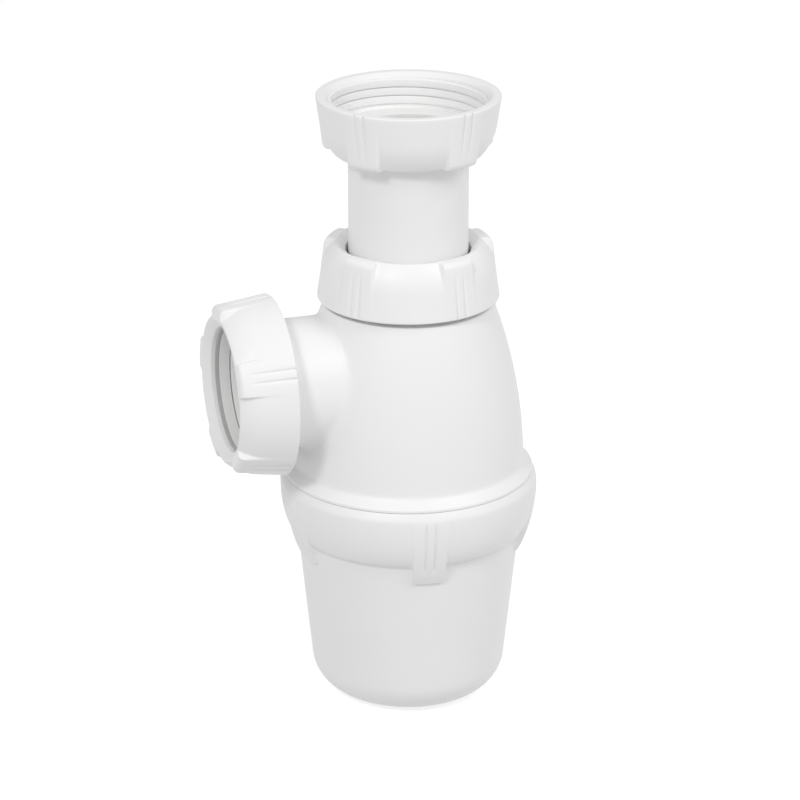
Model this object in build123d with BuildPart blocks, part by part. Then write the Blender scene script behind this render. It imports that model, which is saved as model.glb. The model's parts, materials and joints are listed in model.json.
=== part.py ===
# Basin bottle trap in white moulded plastic.
# Frame: origin at the centre of the cup's flat base, +Z up the bottle, +X along the outlet.
# All lengths are in millimetres and all angles in degrees.
import math
import os

from build123d import *

# Pipe and tube
pipe_r = 16.0               # outside radius of the inlet tube and of the waste pipe
tube_wall = 1.8
tube_shown = 25.1           # bare tube between the two upper nuts
tube_inserted = 48.2        # tube below the neck's mouth
flange_thickness = 1.6
inlet_gasket_thickness = 1.6
flange_gap = 0.2            # tube flange and washers to the nut's plain bore

# Slip joint: a mouth with a seal, a washer and a nut, used at the neck and at the outlet
bore_gap = 0.4              # tube or pipe to its socket
seal_gap = 0.3              # seal or gasket to its seat
hole_gap = 0.8              # tube or pipe to the nut's hole
socket_wall = 3.1           # socket to the root of the outside thread
thread_height = 1.5         # root of the outside thread to the root of the nut's thread
mouth_height = 9.6          # nut's wide end to the mouth
seat_depth = 1.8            # mouth to the floor of the seal's seat
seat_step = 0.9             # width of the seat's floor
mouth_lip = 0.9             # width of the flat lip round the mouth
seal_flange = 1.4
washer_thickness = 1.0
washer_gap = 0.5            # tube or pipe to the slip washer

# Nuts, measured from the wide end
slip_nut_length = 15.1
inlet_nut_length = 15.3
inlet_nut_end_wall = 2.7
slip_nut_runout = 0.3       # slip nut's thread beyond the mouth
nut_wall = 3.5              # thread root to the outside at the wide end
nut_taper = 1.1             # how far the side leans in before it is crowned
nut_crown_start = 7.5
nut_face_width = 3.0        # ring round the hole at the small end
nut_dish_width = 2.3        # dished part of that ring, next to the hole
nut_dish_depth = 1.8
nut_edge_round = 0.5
nut_lead_in = 1.2           # chamfer into the thread

# Grip pads, on the nuts and on the cup's collar
pad_count = 5
pad_groove_width = 1.0
pad_groove_spacing = 2.6
pad_groove_depth = 0.5
nut_pad_width = 10.4
nut_pad_lean = 1.7          # how far a pad leans in before it rounds over
nut_pad_shoulder = 1.6      # from the small end back to where a pad starts to round over
nut_pad_ear = 0.1           # pad beyond the small end
nut_ear_width = 4.5         # ring round the hole at the end of a pad
nut_groove_length = 10.0
inlet_nut_pad_turn = 39.8
neck_nut_pad_turn = 35.7
outlet_nut_pad_turn = 26.3

# Cup
cup_base_r = 25.65          # where the tapered side would meet the base
cup_taper = 5.9
cup_base_round = 10.3
cup_wall = 2.0
collar_foot = 47.6
collar_height = 16.7
collar_widest = 13.0        # collar's foot to its widest point
collar_r = 35.0
collar_top_round = 1.4
collar_bore_depth = 14.7
collar_wall = 3.5
cup_pad_width = 9.9
cup_pad_rise = 0.12
cup_pad_foot = 42.5
cup_pad_foot_rise = 0.9
cup_pad_turn = 82.0
cup_groove_foot = 46.5

# Bottle
body_step = 1.25            # skirt to the widest point of the curved side
body_wall = 2.2
body_height = 47.8          # ledge to shoulder
belly_height = 1.0          # ledge to the widest point of the curved side
shoulder_step = 1.8         # shoulder beyond the nut's thread
shoulder_gap = 1.5          # shoulder to the neck nut
roof_thickness = 4.8
ledge_step = 3.7            # skirt to the edge of the ledge
ledge_lip = 0.5
ledge_round = 1.0
seam_gap = 0.3
cup_thread_height = 1.3     # root of the skirt's thread to the collar's bore
skirt_wall = 2.0
gasket_thickness = 2.0
dip_wall = 2.0
dip_depth = 63.3            # outlet axis to the open end of the dip tube

# Outlet
outlet_reach = 37.4         # bottle axis to the wide end of the outlet nut
outlet_drop = 2.6           # shoulder to the top of the stub
stub_step = 1.3             # stub's outside over the pipe
stub_flare_start = 0.2      # nut's wide end to where the stub widens to its thread
stub_round = 1.0
waterway_step = 2.0         # waterway under the pipe
socket_depth = 7.2          # socket below the seal's seat
waterway_gap = 0.6          # dip tube to the start of the outlet's waterway

# Shared radii
bore_r = pipe_r + bore_gap
hole_r = pipe_r + hole_gap
thread_root_r = bore_r + socket_wall
nut_thread_r = thread_root_r + thread_height
nut_rim_r = nut_thread_r + nut_wall
nut_plain_r = thread_root_r + flange_gap
flange_r = nut_plain_r - flange_gap
dip_r = bore_r + dip_wall
stub_r = pipe_r + stub_step
collar_bore_r = collar_r - collar_wall
skirt_r = collar_bore_r - cup_thread_height
body_r = skirt_r + body_step
ledge_r = skirt_r + ledge_step
shoulder_r = nut_thread_r + shoulder_step

# Inside of the nuts
slip_nut_thread_depth = mouth_height + slip_nut_runout
slip_nut_end_wall = slip_nut_length - mouth_height - seal_flange - washer_thickness
inlet_nut_thread_depth = inlet_nut_length - inlet_nut_end_wall - flange_thickness - inlet_gasket_thickness

# Heights of the stack, from the base up
collar_top = collar_foot + collar_height
gasket_z = collar_top - collar_bore_depth
skirt_foot = gasket_z + gasket_thickness
ledge_z = collar_top + seam_gap
belly_z = ledge_z + belly_height
shoulder_z = ledge_z + body_height
neck_nut_z = shoulder_z + shoulder_gap
neck_top = neck_nut_z + mouth_height
inlet_nut_foot = neck_nut_z + slip_nut_length + tube_shown
flange_z = inlet_nut_foot + inlet_nut_end_wall
inlet_top = inlet_nut_foot + inlet_nut_length
outlet_z = shoulder_z - outlet_drop - stub_r
dip_foot = outlet_z - dip_depth

# Planes at the wide end of each nut, with the normal towards its small end
inlet_seat = Plane(origin=(0, 0, inlet_top), x_dir=(1, 0, 0), z_dir=(0, 0, -1))
neck_seat = Plane(origin=(0, 0, neck_nut_z), x_dir=(1, 0, 0), z_dir=(0, 0, 1))
outlet_seat = Plane(origin=(outlet_reach, 0, outlet_z), x_dir=(0, 1, 0), z_dir=(1, 0, 0))


def seat_axis(seat):
    """The axis of revolution through a seat."""
    return Axis(seat.origin, seat.z_dir)


def section_plane(seat, turn=0):
    """The half plane through a seat's axis: x runs outwards and y along the axis."""
    outward = seat.x_dir.rotate(seat_axis(seat), turn)
    return Plane(origin=seat.origin, x_dir=outward, z_dir=outward.cross(seat.z_dir))


def half_angle(width, radius):
    """Half of the angle that a pad or groove of this width takes on a circle."""
    return math.degrees(width / 2 / radius)


def groove_turns(radius):
    """Where the two grooves of a pad lie, from the pad's middle."""
    turn = half_angle(pad_groove_spacing, radius)
    return (-turn, turn)


def ring_profile(seat, inner_r, outer_r, low, high):
    """A plain ring's section between two heights over a seat."""
    with BuildSketch(section_plane(seat)) as ring:
        with BuildLine():
            Polyline((inner_r, low), (outer_r, low), (outer_r, high), (inner_r, high), close=True)
        make_face()
    return ring.sketch


def socket_profile(seat, depth):
    """The hollow of a slip joint: socket, floor and cone of the seal's seat, up to the mouth."""
    floor = mouth_height - seat_depth
    with BuildSketch(section_plane(seat)) as hollow:
        with BuildLine():
            Polyline(
                (0, floor - depth),
                (bore_r, floor - depth),
                (bore_r, floor),
                (bore_r + seat_step, floor),
                (thread_root_r - mouth_lip, mouth_height),
                (0, mouth_height),
                close=True,
            )
        make_face()
    return hollow.sketch


def gripped_nut(seat, length, thread_depth, end_wall, first_pad):
    """A nut with its wide end on the seat: crowned ring, grip pads, grooves, stepped bore."""
    axis = seat_axis(seat)
    face_r = hole_r + nut_face_width
    ear_r = hole_r + nut_ear_width
    crown_r = nut_rim_r - nut_taper
    lean = (-nut_taper, nut_crown_start)
    pad_foot_r = nut_rim_r - nut_edge_round / 4
    pad_shoulder_r = nut_rim_r - nut_pad_lean
    pad_shoulder = length - nut_pad_shoulder
    pad_lean = (pad_shoulder_r - pad_foot_r, pad_shoulder - nut_edge_round)
    pad_half = half_angle(nut_pad_width, nut_rim_r)
    ear_top = length + nut_pad_ear
    floor = length - end_wall
    brow_r = hole_r + nut_dish_width
    groove_half = half_angle(pad_groove_width, nut_rim_r)
    groove_end_share = (nut_groove_length - nut_edge_round) / pad_lean[1]
    groove_end_r = pad_foot_r + pad_lean[0] * groove_end_share
    with BuildPart() as nut:
        with BuildSketch(section_plane(seat)) as blank:
            with BuildLine():
                side = Line((nut_rim_r, 0), (crown_r, nut_crown_start))
                crown = TangentArc(side @ 1, (face_r, length), tangent=lean)
                Polyline(crown @ 1, (0, length), (0, 0), side @ 0)
            make_face()
            fillet(blank.vertices().sort_by_distance((nut_rim_r, 0))[:1], nut_edge_round)
            fillet(blank.vertices().sort_by_distance((face_r, length))[:1], nut_edge_round)
        revolve(axis=axis)
        for pad in range(pad_count):
            turn = first_pad + pad * 360 / pad_count
            with BuildSketch(section_plane(seat, turn - pad_half)):
                with BuildLine():
                    face = Line((pad_foot_r, nut_edge_round), (pad_shoulder_r, pad_shoulder))
                    ear = TangentArc(face @ 1, (ear_r, ear_top), tangent=pad_lean)
                    Polyline(
                        ear @ 1,
                        (hole_r, ear_top),
                        (hole_r, nut_edge_round),
                        face @ 0,
                    )
                make_face()
            revolve(axis=axis, revolution_arc=2 * pad_half)
        for pad in range(pad_count):
            for groove_turn in groove_turns(nut_rim_r):
                turn = first_pad + pad * 360 / pad_count + groove_turn
                with BuildSketch(section_plane(seat, turn - groove_half)):
                    with BuildLine():
                        Polyline(
                            (nut_rim_r - pad_groove_depth, -nut_edge_round),
                            (nut_rim_r + pad_groove_depth, -nut_edge_round),
                            (nut_rim_r + pad_groove_depth, nut_groove_length),
                            (groove_end_r, nut_groove_length),
                            close=True,
                        )
                    make_face()
                revolve(axis=axis, revolution_arc=2 * groove_half, mode=Mode.SUBTRACT)
        with BuildSketch(section_plane(seat)):
            with BuildLine():
                Polyline(
                    (0, 0),
                    (nut_thread_r + nut_lead_in, 0),
                    (nut_thread_r, nut_lead_in),
                    (nut_thread_r, thread_depth),
                    (nut_plain_r, thread_depth),
                    (nut_plain_r, floor),
                    (hole_r, floor),
                    (hole_r, length - nut_dish_depth),
                    (brow_r, length),
                    (brow_r, ear_top),
                    (0, ear_top),
                    close=True,
                )
            make_face()
        revolve(axis=axis, mode=Mode.SUBTRACT)
    return nut.part


def slip_nut(seat, first_pad):
    """The nut of a slip joint."""
    return gripped_nut(seat, slip_nut_length, slip_nut_thread_depth, slip_nut_end_wall, first_pad)


def conical_seal(seat):
    """A rubber seal: a cone that wedges into the seat, under a flange that lies on the mouth's lip."""
    foot = mouth_height - seat_depth + seal_gap
    with BuildPart() as seal:
        with BuildSketch(section_plane(seat)):
            with BuildLine():
                Polyline(
                    (bore_r, foot),
                    (bore_r + seat_step - seal_gap, foot),
                    (thread_root_r - mouth_lip - seal_gap, mouth_height),
                    (flange_r, mouth_height),
                    (flange_r, mouth_height + seal_flange),
                    (bore_r, mouth_height + seal_flange),
                    close=True,
                )
            make_face()
        revolve(axis=seat_axis(seat))
    return seal.part


def slip_washer(seat):
    """The thin ring between a conical seal and its nut."""
    low = mouth_height + seal_flange
    with BuildPart() as washer:
        revolve(
            ring_profile(seat, pipe_r + washer_gap, flange_r, low, low + washer_thickness),
            axis=seat_axis(seat),
        )
    return washer.part


# Bottle: curved shell with ledge, threaded skirt, neck, outlet stub and dip tube in one moulding
with BuildPart() as trap_body:
    with BuildSketch(Plane.XZ) as outside:
        with BuildLine():
            curve = TangentArc((body_r, belly_z), (shoulder_r, shoulder_z), tangent=(0, 1))
            Polyline(
                curve @ 1,
                (thread_root_r, shoulder_z),
                (thread_root_r, neck_top),
                (0, neck_top),
                (0, skirt_foot),
                (skirt_r, skirt_foot),
                (skirt_r, ledge_z),
                (body_r, ledge_z),
                curve @ 0,
            )
        make_face()
        flare_top = ledge_z + ledge_lip + ledge_r - skirt_r
        with BuildLine():
            Polyline(
                (skirt_r, ledge_z),
                (ledge_r, ledge_z),
                (ledge_r, ledge_z + ledge_lip),
                (skirt_r, flare_top),
                close=True,
            )
        make_face()
        flare_root = (body_r, flare_top - (body_r - skirt_r))
        fillet(outside.vertices().sort_by_distance(flare_root)[:1], ledge_round)
    revolve(axis=Axis.Z)
    with BuildSketch(section_plane(outlet_seat)):
        with BuildLine():
            Polyline(
                (0, bore_r - outlet_reach),
                (stub_r, bore_r - outlet_reach),
                (stub_r, stub_flare_start),
                (thread_root_r, stub_flare_start + thread_root_r - stub_r),
                (thread_root_r, mouth_height),
                (0, mouth_height),
                close=True,
            )
        make_face()
    revolve(axis=seat_axis(outlet_seat))
    fillet(trap_body.edges(Select.NEW), stub_round)
    with BuildSketch(Plane.XZ):
        with BuildLine():
            curve_r = ((shoulder_z - belly_z) ** 2 + (body_r - shoulder_r) ** 2) / (body_r - shoulder_r) / 2
            roof_z = shoulder_z - roof_thickness
            roof_run = math.sqrt((curve_r - body_wall) ** 2 - (roof_z - belly_z) ** 2)
            inside = TangentArc(
                (body_r - body_wall, belly_z),
                (body_r - curve_r + roof_run, roof_z),
                tangent=(0, 1),
            )
            Polyline(
                inside @ 1,
                (0, roof_z),
                (0, skirt_foot),
                (skirt_r - skirt_wall, skirt_foot),
                (skirt_r - skirt_wall, ledge_z),
                inside @ 0,
            )
        make_face()
    revolve(axis=Axis.Z, mode=Mode.SUBTRACT)
    revolve(ring_profile(Plane.XY, bore_r, dip_r, dip_foot, shoulder_z), axis=Axis.Z)
    neck_bore_depth = neck_top - seat_depth - dip_foot
    revolve(socket_profile(neck_seat, neck_bore_depth), axis=Axis.Z, mode=Mode.SUBTRACT)
    revolve(socket_profile(outlet_seat, socket_depth), axis=seat_axis(outlet_seat), mode=Mode.SUBTRACT)
    waterway_start = dip_r + waterway_gap - outlet_reach
    revolve(
        ring_profile(outlet_seat, 0, pipe_r - waterway_step, waterway_start, mouth_height),
        axis=seat_axis(outlet_seat),
        mode=Mode.SUBTRACT,
    )

# Cup: tapered pot with a round-bottomed base, a bulging collar and grip pads
with BuildPart() as cup:
    lean_in = math.tan(math.radians(cup_taper))
    cup_foot_r = cup_base_r + collar_foot * lean_in
    cup_shoulder_r = cup_base_r + gasket_z * lean_in
    widest_z = collar_foot + collar_widest
    collar_reach = collar_r - cup_foot_r
    with BuildSketch(Plane.XZ) as pot:
        with BuildLine():
            Polyline(
                (0, 0),
                (cup_base_r, 0),
                (cup_shoulder_r, gasket_z),
                (0, gasket_z),
                close=True,
            )
        make_face()
        fillet(pot.vertices().sort_by_distance((cup_base_r, 0))[:1], cup_base_round)
        with BuildLine():
            bulge = EllipticalCenterArc(
                (cup_foot_r, widest_z), collar_reach, collar_widest, start_angle=270, arc_size=90
            )
            Polyline(
                bulge @ 1,
                (collar_r, collar_top),
                (0, collar_top),
                (0, collar_foot),
                bulge @ 0,
            )
        make_face()
        fillet(pot.vertices().sort_by_distance((collar_r, collar_top))[:1], collar_top_round)
    revolve(axis=Axis.Z)
    cup_pad_r = collar_r + cup_pad_rise
    cup_pad_foot_r = cup_base_r + cup_pad_foot * lean_in + cup_pad_foot_rise
    cup_pad_half = half_angle(cup_pad_width, collar_r)
    cup_groove_half = half_angle(pad_groove_width, collar_r)
    for pad in range(pad_count):
        turn = cup_pad_turn + pad * 360 / pad_count
        with BuildSketch(section_plane(Plane.XY, turn - cup_pad_half)):
            with BuildLine():
                face = TangentArc((cup_pad_r, widest_z), (cup_pad_foot_r, cup_pad_foot), tangent=(0, -1))
                Polyline(
                    face @ 1,
                    (cup_base_r, cup_pad_foot),
                    (cup_base_r, widest_z + cup_pad_rise),
                    (collar_r, widest_z + cup_pad_rise),
                    face @ 0,
                )
            make_face()
        revolve(axis=Axis.Z, revolution_arc=2 * cup_pad_half)
    for pad in range(pad_count):
        for groove_turn in groove_turns(collar_r):
            turn = cup_pad_turn + pad * 360 / pad_count + groove_turn
            with BuildSketch(section_plane(Plane.XY, turn - cup_groove_half)):
                with BuildLine():
                    floor = TangentArc(
                        (cup_pad_r - pad_groove_depth, widest_z),
                        (cup_pad_foot_r - pad_groove_depth, cup_pad_foot),
                        tangent=(0, -1),
                    )
                    Polyline(
                        floor @ 0,
                        (cup_pad_r + pad_groove_depth, widest_z),
                        (cup_pad_r + pad_groove_depth, cup_pad_foot),
                        floor @ 1,
                    )
                make_face()
                with Locations((cup_pad_r, (cup_pad_foot + cup_groove_foot) / 2)):
                    Rectangle(collar_r, cup_groove_foot - cup_pad_foot, mode=Mode.SUBTRACT)
            revolve(axis=Axis.Z, revolution_arc=2 * cup_groove_half, mode=Mode.SUBTRACT)
    with BuildSketch(Plane.XZ) as hollow:
        with BuildLine():
            Polyline(
                (0, cup_wall),
                (cup_base_r - cup_wall + cup_wall * lean_in, cup_wall),
                (cup_shoulder_r - cup_wall, gasket_z),
                (0, gasket_z),
                close=True,
            )
        make_face()
        fillet(hollow.vertices().sort_by_distance((cup_base_r, 0))[:1], cup_base_round - cup_wall)
        with BuildLine():
            Polyline(
                (0, gasket_z),
                (collar_bore_r, gasket_z),
                (collar_bore_r, collar_top),
                (0, collar_top),
                close=True,
            )
        make_face()
    revolve(axis=Axis.Z, mode=Mode.SUBTRACT)

# Flat gasket between the skirt's foot and the cup's shoulder
with BuildPart() as cup_gasket:
    revolve(
        ring_profile(
            Plane.XY, skirt_r - skirt_wall, collar_bore_r - seal_gap, gasket_z, gasket_z + gasket_thickness
        ),
        axis=Axis.Z,
    )

# Telescopic inlet tube, flanged at the top
with BuildPart() as inlet_tube:
    tube_foot = neck_top - tube_inserted
    flange_top = flange_z + flange_thickness
    with BuildSketch(Plane.XZ):
        with BuildLine():
            Polyline(
                (pipe_r - tube_wall, tube_foot),
                (pipe_r, tube_foot),
                (pipe_r, flange_z),
                (flange_r, flange_z),
                (flange_r, flange_top),
                (pipe_r - tube_wall, flange_top),
                close=True,
            )
        make_face()
    revolve(axis=Axis.Z)

# Flat gasket on the tube's flange, under the basin waste
with BuildPart() as inlet_gasket:
    revolve(
        ring_profile(
            Plane.XY, pipe_r - tube_wall, flange_r, flange_top, flange_top + inlet_gasket_thickness
        ),
        axis=Axis.Z,
    )

# Coupling nut that draws the flange up to the basin waste
inlet_nut = gripped_nut(
    inlet_seat, inlet_nut_length, inlet_nut_thread_depth, inlet_nut_end_wall, -inlet_nut_pad_turn
)

pieces = {
    "trap_body": trap_body.part,
    "cup": cup.part,
    "cup_gasket": cup_gasket.part,
    "inlet_tube": inlet_tube.part,
    "inlet_gasket": inlet_gasket.part,
    "inlet_nut": inlet_nut,
    "neck_nut": slip_nut(neck_seat, neck_nut_pad_turn),
    "neck_seal": conical_seal(neck_seat),
    "neck_slip_washer": slip_washer(neck_seat),
    "outlet_nut": slip_nut(outlet_seat, outlet_nut_pad_turn),
    "outlet_seal": conical_seal(outlet_seat),
    "outlet_slip_washer": slip_washer(outlet_seat),
}

os.makedirs("parts", exist_ok=True)
for name, piece in pieces.items():
    piece.label = name
    export_step(piece, f"parts/{name}.step")
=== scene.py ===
# %% [markdown]
# # A basin bottle trap in white moulded plastic
#
# The trap hangs under a basin. Waste water falls through the upper nut and the sliding tube, down the
# dip tube into the cup, and rises round it to the outlet on the side. This lesson rebuilds each
# moulding as a clean mesh with softened edges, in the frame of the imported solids, and then gives it
# the plastic, the light and the camera.

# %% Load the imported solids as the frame
import json
import math

import bpy
from mathutils import Matrix, Vector

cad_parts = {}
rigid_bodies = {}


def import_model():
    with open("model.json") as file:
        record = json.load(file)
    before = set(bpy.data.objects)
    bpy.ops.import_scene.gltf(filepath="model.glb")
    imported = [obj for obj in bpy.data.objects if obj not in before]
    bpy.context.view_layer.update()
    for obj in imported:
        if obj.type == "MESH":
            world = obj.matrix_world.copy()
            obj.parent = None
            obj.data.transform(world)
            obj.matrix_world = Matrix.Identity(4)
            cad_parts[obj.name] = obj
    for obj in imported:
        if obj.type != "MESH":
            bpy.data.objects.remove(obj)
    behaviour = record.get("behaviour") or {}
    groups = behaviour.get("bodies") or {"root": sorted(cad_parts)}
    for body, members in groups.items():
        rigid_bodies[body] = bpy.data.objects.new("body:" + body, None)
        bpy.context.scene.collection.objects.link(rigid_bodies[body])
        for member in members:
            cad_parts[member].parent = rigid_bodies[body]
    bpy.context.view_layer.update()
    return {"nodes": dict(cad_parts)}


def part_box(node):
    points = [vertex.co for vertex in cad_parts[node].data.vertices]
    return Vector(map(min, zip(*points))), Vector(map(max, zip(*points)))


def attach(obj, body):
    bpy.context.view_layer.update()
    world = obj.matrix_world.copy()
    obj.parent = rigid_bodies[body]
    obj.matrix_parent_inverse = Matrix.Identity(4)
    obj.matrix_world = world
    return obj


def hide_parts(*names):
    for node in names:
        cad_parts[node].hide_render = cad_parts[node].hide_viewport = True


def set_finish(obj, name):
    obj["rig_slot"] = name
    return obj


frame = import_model()
print("nodes:", sorted(frame["nodes"]))

# %% [markdown]
# ## Sizes
#
# The sizes repeat the drawing of the solids, in millimetres, because a mesh that stands for a solid has
# to keep its form. Blender works in metres, so MM turns one into the other. Only what several pieces
# share is listed here: the two slip joints, at the neck and at the outlet, and where the nuts sit.

# %% Sizes shared by the pieces
MM = 0.001
BORE_R = 16.4
THREAD_ROOT_R = 19.5
MOUTH = 9.6
MOUTH_R = 18.6
SEAT_R = 17.3
SEAT_DEPTH = 1.8
NECK_NUT_Z = 113.9
INLET_TOP = 169.4
OUTLET_X = 37.4
OUTLET_Z = 92.5
nut_low, nut_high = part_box("outlet_nut")
print("outlet axis at", (nut_low.z + nut_high.z) / 2 / MM, "mm, drawn at", OUTLET_Z)

# %% [markdown]
# ## Working as by hand
#
# An operator acts on all that is selected, and the solids come in selected. So each step first lets go
# of everything and then takes up the one piece that it works on.


# %% Take up a piece, let go of it or delete it
def start_clean():
    """Leaves edit mode and deselects everything, so an operator acts on the new piece alone."""
    if bpy.context.mode != "OBJECT":
        bpy.ops.object.mode_set(mode="OBJECT")
    bpy.ops.object.select_all(action="DESELECT")


def take(piece):
    """Makes one piece the selected and active object."""
    start_clean()
    piece.select_set(True)
    bpy.context.view_layer.objects.active = piece


def delete(pieces):
    """Deletes helper pieces that have done their work."""
    start_clean()
    for piece in pieces:
        piece.select_set(True)
    bpy.ops.object.delete()


# %% [markdown]
# ## Drawing a section
#
# Nearly every piece of the trap is turned: one section, spun round an axis, as on a lathe. The section
# could be a long list of points, but real mouldings have no sharp corners, and each round edge would
# be several numbers. So only the corners are given, each with how far its easing reaches, and long
# round stretches are arcs that leave a point in a given direction.


# %% Ease the corners and draw the arcs
def soft_path(corners, bends=4):
    """Points along a closed section whose corners are (r, z, reach).

    A corner is eased from reach before it to reach after it, and stays sharp where reach is 0.
    """
    points = []
    for turn, (r, z, reach) in enumerate(corners):
        corner = Vector((r, z))
        if reach == 0:
            points.append(corner)
            continue
        before = Vector(corners[turn - 1][:2]) - corner
        after = Vector(corners[(turn + 1) % len(corners)][:2]) - corner
        start = corner + before.normalized() * reach
        end = corner + after.normalized() * reach
        for step in range(bends + 1):
            t = step / bends
            points.append(start * (1 - t) ** 2 + corner * 2 * t * (1 - t) + end * t ** 2)
    return points


def tangent_arc(start, end, tangent, count):
    """Points after start along the arc that leaves it in a direction and ends at end."""
    start, end, tangent = Vector(start), Vector(end), Vector(tangent).normalized()
    chord = end - start
    sweep = 2 * math.atan2(tangent.x * chord.y - tangent.y * chord.x, tangent.dot(chord))
    inward = Vector((-tangent.y, tangent.x))
    centre = start + inward * (chord.length_squared / (2 * chord.dot(inward)))
    arm = start - centre
    return [centre + Matrix.Rotation(sweep * (k + 1) / count, 2) @ arm for k in range(count)]


def plain(points):
    """Points as corners with no easing."""
    return [(point.x, point.y, 0) for point in points]


# %% [markdown]
# With its points known, the section grows as it would by hand: a small plane is merged to one point,
# and that point is extruded from place to place. The section is left selected in edit mode, ready to
# be spun.


# %% Draw a section by extruding a point
def draw_section(name, points, closed=True):
    """Draws a section in the XZ plane: a point is placed, then extruded to each next one."""
    start_clean()
    bpy.ops.mesh.primitive_plane_add(size=MM)
    section = bpy.context.object
    section.name = name
    bpy.ops.object.mode_set(mode="EDIT")
    bpy.ops.mesh.select_mode(type="VERT")
    bpy.ops.mesh.merge(type="CENTER")
    bpy.ops.transform.translate(value=(points[0].x * MM, 0, points[0].y * MM))
    for last, point in zip(points, points[1:]):
        move = (point - last) * MM
        bpy.ops.mesh.extrude_region_move(TRANSFORM_OT_translate={"value": (move.x, 0, move.y)})
    if closed:
        bpy.ops.object.mode_set(mode="OBJECT")
        section.data.vertices[0].select = True
        bpy.ops.object.mode_set(mode="EDIT")
        bpy.ops.mesh.edge_face_add()
    bpy.ops.mesh.select_all(action="SELECT")
    return section


# %% [markdown]
# ## Turning it
#
# Spin copies the section round the axis in even steps and joins the copies with faces. It leaves doubled
# points at the seam and on the axis, and it can turn a shape inside out. So the doubles are merged, and
# then the normals are made to point outwards.

# %% Spin a section and close the piece
MERGE_WITHIN = 0.002
CREASE = 40
TURNED_STEPS = 180


def spin_to(stops):
    """Spins the selected section about the Z axis, with its own number of steps up to each stop."""
    reached = 0
    for stop, steps in stops:
        turn = math.radians(stop - reached)
        bpy.ops.mesh.spin(steps=steps, angle=turn, center=(0, 0, 0), axis=(0, 0, 1))
        reached = stop


def close_up(piece):
    """Merges the seam and the poles, points the faces outwards and shades the piece smooth."""
    take(piece)
    bpy.ops.object.mode_set(mode="EDIT")
    bpy.ops.mesh.select_all(action="SELECT")
    bpy.ops.mesh.remove_doubles(threshold=MERGE_WITHIN * MM)
    bpy.ops.mesh.normals_make_consistent(inside=False)
    bpy.ops.object.mode_set(mode="OBJECT")
    bpy.ops.object.shade_smooth_by_angle(angle=math.radians(CREASE))


def turned(name, corners, steps=TURNED_STEPS):
    """A piece turned about the Z axis from the corners of its closed section."""
    piece = draw_section(name, soft_path(corners))
    spin_to([(360, steps)])
    close_up(piece)
    print(name, "turned,", len(piece.data.polygons), "faces")
    return piece


# %% [markdown]
# ## Placing a piece
#
# A piece is modelled at the origin, where its axis is easy to work with, and then moved. The move is
# applied, so the object itself stays at the origin and its place is in its mesh, as with the solids.
# Then the piece is parented to the body it moves with, gets its slot, and the solid it stands for is
# hidden.


# %% Place a piece and say what it belongs to
def set_in_place(piece, place):
    """Moves a piece modelled at the origin to its place and leaves the move in its mesh."""
    take(piece)
    piece.matrix_world = place
    bpy.ops.object.transform_apply(location=True, rotation=True, scale=True)


def fit(piece, body, slot, node=None):
    """Parents the piece to the body it moves with, sets its material slot, and hides the solid it stands
    for.
    """
    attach(piece, body)
    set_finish(piece, slot)
    if node:
        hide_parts(node)


# %% [markdown]
# ## Grip pads
#
# Each nut, and the cup's collar, has five grip pads with two grooves in each. By hand one would push and
# pull faces, but the pads fade into a curved side. So one fifth of the piece is turned three times with
# the same number of points: plain, with the pad all round, and with the groove all round. The last two
# join the first as shapes, and vertex groups say where each of them shows.

# %% Where the pads and grooves show
PADS = 5
FIFTH = 360 / PADS
PAD_MIDDLE = FIFTH / 2
PAD_EASE = 0.9
GROOVE_SPACING = 2.6
GROOVE_HALF = 0.5


def share_of(amount, whole):
    """An amount as a share of a whole, kept between 0 and 1."""
    return min(max(amount / whole, 0), 1)


def pad_share(away, half):
    """How much of the pad shows at a distance from its middle, in millimetres along the rim."""
    t = share_of(half + PAD_EASE / 2 - abs(away), PAD_EASE)
    return t * t * (3 - 2 * t)


def groove_share(away):
    """How deep the groove is at a distance from the pad's middle, in millimetres along the rim."""
    off = abs(abs(away) - GROOVE_SPACING / 2)
    return 0.5 + 0.5 * math.cos(math.pi * off / GROOVE_HALF) if off < GROOVE_HALF else 0


def pad_stops(rim_r, pad_half):
    """Stops for spinning one fifth, with fine steps across the edges of the pad and the grooves."""
    edge = PAD_EASE * 0.6
    groove_in = GROOVE_SPACING / 2 - GROOVE_HALF
    groove_out = GROOVE_SPACING / 2 + GROOVE_HALF
    across = [
        (-pad_half - edge, 6),
        (-pad_half + edge, 8),
        (-groove_out, 4),
        (-groove_in, 8),
        (groove_in, 3),
        (groove_out, 8),
        (pad_half - edge, 4),
        (pad_half + edge, 8),
    ]
    stops = [(PAD_MIDDLE + math.degrees(away / rim_r), steps) for away, steps in across]
    return stops + [(FIFTH, 6)]


# %% Mix the three forms of one fifth and copy it round
def mix_forms(piece, forms, rim_r, pad_half):
    """Joins the padded and grooved forms to the plain piece as shapes and applies their mix."""
    take(piece)
    for form in forms:
        form.select_set(True)
    bpy.ops.object.join_shapes()
    for form in forms:
        share = piece.vertex_groups.new(name=form.name)
        key = piece.data.shape_keys.key_blocks[form.name]
        key.vertex_group = share.name
        key.value = 1
    for vertex in piece.data.vertices:
        turn = abs(math.degrees(math.atan2(vertex.co.y, vertex.co.x)))
        away = math.radians(turn - PAD_MIDDLE) * rim_r
        piece.vertex_groups["padded"].add([vertex.index], pad_share(away, pad_half), "REPLACE")
        piece.vertex_groups["grooved"].add([vertex.index], groove_share(away), "REPLACE")
    take(piece)
    piece.active_shape_key_index = 1
    bpy.ops.object.shape_key_remove(all=True, apply_mix=True)
    piece.vertex_groups.clear()


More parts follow.
